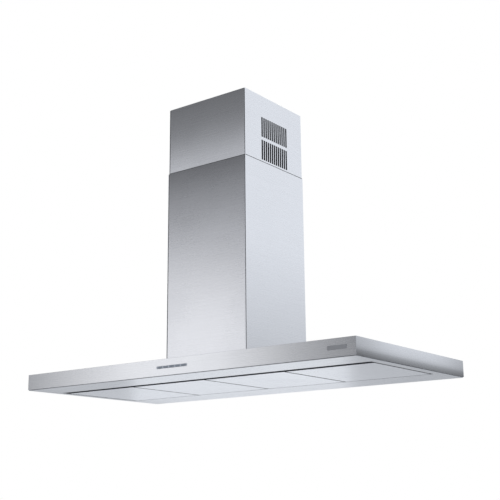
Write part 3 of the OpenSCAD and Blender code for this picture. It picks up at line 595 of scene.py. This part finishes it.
def field_shade_trim():
    """The dark rubber edge inside the tray's opening: painted shade, a dark piece that deepens the shade
    line round the panels.
    """
    low, high = footprint("canopy_tray")
    border = 0.01
    inside = [
        v.co
        for v in NODES["canopy_tray"].data.vertices
        if v.co.z < low.z
        and low.x + border < v.co.x < high.x - border
        and low.y + border < v.co.y < high.y - border
    ]
    near = Vector((min(v.x for v in inside), min(v.y for v in inside)))
    far = Vector((max(v.x for v in inside), max(v.y for v in inside)))
    half, middle = (far - near) / 2, (far + near) / 2
    z = TRAY_FOOT
    profile = [
        (-TRIM_SEAT, z + 0.0003),
        (-TRIM, z + 0.0006),
        (-TRIM, z + 0.0056),
        (-TRIM_SEAT, z + 0.0058),
    ]
    inner = (half.x, half.y, SHEET_CORNER)
    band("field_shade_trim", inner, profile, RUBBER, "canopy", middle)


def panel_seals():
    """Dark rubber T strips in the gaps beside the panels, hung from the rack's crossbars: painted shade,
    dark pieces that darken the gaps between the panels.
    """
    pitch = PANELS[1][0].x - PANELS[0][0].x
    y0, y1 = PANELS[0][0].y + 0.004, PANELS[0][1].y - 0.0105
    foot, slim = PANEL_GAP / 2 - TRIM - 0.0012, 0.0007
    z0 = TRAY_FOOT + 0.0005
    rim, neck = z0 + 0.0012, z0 + 0.0022
    web_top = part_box("filter_frame_1")[0].z - 0.0014
    half = [(foot, z0), (foot, rim), (slim, neck), (slim, web_top)]
    profile = [(-foot, z0)] + half + [(-x, z) for x, z in half[:0:-1]]
    bm = bmesh.new()
    for k in range(len(PANELS) + 1):
        x = PANELS[0][0].x - PANEL_GAP / 2 + k * pitch
        ends = [[bm.verts.new((x + dx, y, z)) for dx, z in profile] for y in (y0, y1)]
        join(bm, *ends)
        for end in ends:
            bm.faces.new(end)
    build("panel_seals", bm, RUBBER, "canopy")


def filter_weave(index):
    """The lowest layer of a filter: expanded metal in 10 x 4 mm diamonds."""
    frame_low, frame_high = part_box(f"filter_frame_{index}")
    slab_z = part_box("filter_meshes")[0].z
    x0, x1 = frame_low.x + 0.0125, frame_high.x - 0.0125
    y0, y1 = frame_low.y + 0.031, frame_high.y - 0.015
    long_way, short_way, wide, thick = 0.010, 0.004, 0.0008, 0.0006
    slack, cross, share = 0.0001, 0.0002, 0.88
    rows = int((y1 - y0 - wide) / short_way)
    steps = int((x1 - x0) / (long_way / 2))
    shift = (x1 - x0 - steps * long_way / 2) / 2
    start = y0 + (y1 - y0 - rows * short_way) / 2 + short_way / 2
    corners = ((-wide / 2, 0.0), (wide / 2, 0.0), (wide / 2, -thick), (-wide / 2, -thick))
    bm = bmesh.new()
    for row in range(rows):
        before = None
        for k in range(steps + 1):
            odd = (k + row) % 2
            x = x0 + shift + k * long_way / 2
            y = start + row * short_way + (short_way / 2 if odd else -short_way / 2) * share
            z = slab_z - slack - (cross if odd else 0.0)
            ring = [bm.verts.new((x, y + dy, z + dz)) for dy, dz in corners]
            if before:
                join(bm, before, ring)
            else:
                bm.faces.new(ring)
            before = ring
        bm.faces.new(before)
    build(f"filter_weave_{index}", bm, BASE["mesh"], "canopy")


def led_chips():
    """The row of light-emitting chips on the strip's board, behind the lens."""
    low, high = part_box("led_strip")
    lens_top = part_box("led_lens")[1].z
    y = (low.y + high.y) / 2
    z = high.z - 0.0013
    count, end = 56, 0.015
    pitch = (high.x - low.x - 2 * end) / (count - 1)
    half, dome_radius, dome_rise = 0.0014, 0.00105, 0.5
    cases, domes = bmesh.new(), bmesh.new()
    for k in range(count):
        x = low.x + end + k * pitch
        rib(cases, (x - half, y - half, z - 0.0010), (x + half, y + half, z - 0.0001), 0.00015)
        dome = bmesh.ops.create_uvsphere(domes, u_segments=12, v_segments=6, radius=dome_radius)
        for v in dome["verts"]:
            v.co = Vector((x + v.co.x, y + v.co.y, z - 0.0009 + min(v.co.z, 0.0002) * dome_rise))
    assert z - 0.0025 > lens_top
    build("led_cases", cases, moulded("case_white", (0.78, 0.78, 0.76), 0.35), "canopy")
    build("led_domes", domes, moulded("phosphor_yellow", (0.75, 0.62, 0.12), 0.3), "canopy")


seam_strip()
joint_shade_cords()
foot_bead()
field_shade_trim()
panel_seals()
air_divider()
for number in range(1, 5):
    panel_shade_trim(number)
    filter_weave(number)
led_chips()

# ---------------------------------------------------------------- room
FLOOR_LEVEL, FLOOR_HALF, FLOOR_CELLS = -2.5, 260.0, 40
FLOOR_DARK, FLOOR_LIGHT = (0.86, 0.86, 0.86, 1.0), (0.89, 0.89, 0.89, 1.0)
BRIGHT_SIDE = (0.62, 0.74, -0.24)   # the way to the brightest part of the room
ROOM_DIM, ROOM_BRIGHT = (0.45, 0.46, 0.485, 1.0), (1.02, 1.06, 1.12, 1.0)


def make_floor():
    mesh = bpy.data.meshes.new("floor")
    bm = bmesh.new()
    bmesh.ops.create_grid(bm, x_segments=FLOOR_CELLS, y_segments=FLOOR_CELLS, size=FLOOR_HALF)
    bmesh.ops.translate(bm, vec=(0.0, 0.0, FLOOR_LEVEL), verts=bm.verts)
    bm.to_mesh(mesh)
    bm.free()
    floor = bpy.data.objects.new("floor", mesh)
    bpy.context.collection.objects.link(floor)
    t = Tree("floor_pale")
    speck = t.noise(even(3.0), 4.0)
    t.shader.inputs["Specular IOR Level"].default_value = 0.2
    mesh.materials.append(t.finish(t.mix(speck, FLOOR_DARK, FLOOR_LIGHT), 0.8))


def make_world():
    """A white backdrop; what the steel mirrors is a bright room behind and a dim one in front."""
    world = bpy.data.worlds.new("studio")
    world.use_nodes = True
    bpy.context.scene.world = world
    t = world.node_tree
    t.nodes.clear()
    place = t.nodes.new("ShaderNodeTexCoord")
    dot = t.nodes.new("ShaderNodeVectorMath")
    dot.operation = "DOT_PRODUCT"
    t.links.new(place.outputs["Generated"], dot.inputs[0])
    dot.inputs[1].default_value = Vector(BRIGHT_SIDE).normalized()
    level = t.nodes.new("ShaderNodeMapRange")
    level.interpolation_type = "SMOOTHSTEP"
    t.links.new(dot.outputs["Value"], level.inputs["Value"])
    level.inputs["From Min"].default_value = -1.0
    level.inputs["From Max"].default_value = 0.5
    tone = t.nodes.new("ShaderNodeMix")
    tone.data_type = "RGBA"
    t.links.new(level.outputs[0], tone.inputs[0])
    tone.inputs[6].default_value = ROOM_DIM
    tone.inputs[7].default_value = ROOM_BRIGHT
    room = t.nodes.new("ShaderNodeBackground")
    t.links.new(tone.outputs[2], room.inputs["Color"])
    white = t.nodes.new("ShaderNodeBackground")
    white.inputs["Color"].default_value = (1.0, 1.0, 1.0, 1.0)
    ray = t.nodes.new("ShaderNodeLightPath")
    both = t.nodes.new("ShaderNodeMixShader")
    t.links.new(ray.outputs["Is Camera Ray"], both.inputs[0])
    t.links.new(room.outputs[0], both.inputs[1])
    t.links.new(white.outputs[0], both.inputs[2])
    out = t.nodes.new("ShaderNodeOutputWorld")
    t.links.new(both.outputs[0], out.inputs["Surface"])


def softbox(name, place, aim, size, power, colour=(1.0, 1.0, 1.0)):
    """A rectangular lamp (m, W) that the camera doesn't see."""
    data = bpy.data.lights.new(name, "AREA")
    data.shape = "RECTANGLE"
    data.size, data.size_y = size
    data.energy = power
    data.color = colour
    lamp = bpy.data.objects.new(name, data)
    bpy.context.collection.objects.link(lamp)
    lamp.visible_camera = False
    turn = (Vector(aim) - Vector(place)).to_track_quat("-Z", "Y")
    lamp.matrix_world = Matrix.Translation(place) @ turn.to_matrix().to_4x4()


make_floor()
make_world()
softbox("key_low", (-2.66, -3.3, -0.55), (0.0, -0.2, -0.6), (1.7, 2.0), 9.0)
softbox("low_rear", (-1.75, 2.3, -1.62), (0.0, 0.0, -0.875), (1.3, 0.8), 1.9, (0.94, 0.97, 1.0))
softbox("top", (0.4, 0.6, 2.2), (0.0, 0.0, -0.5), (3.0, 3.0), 20.0)
bpy.context.scene.view_settings.view_transform = "Standard"
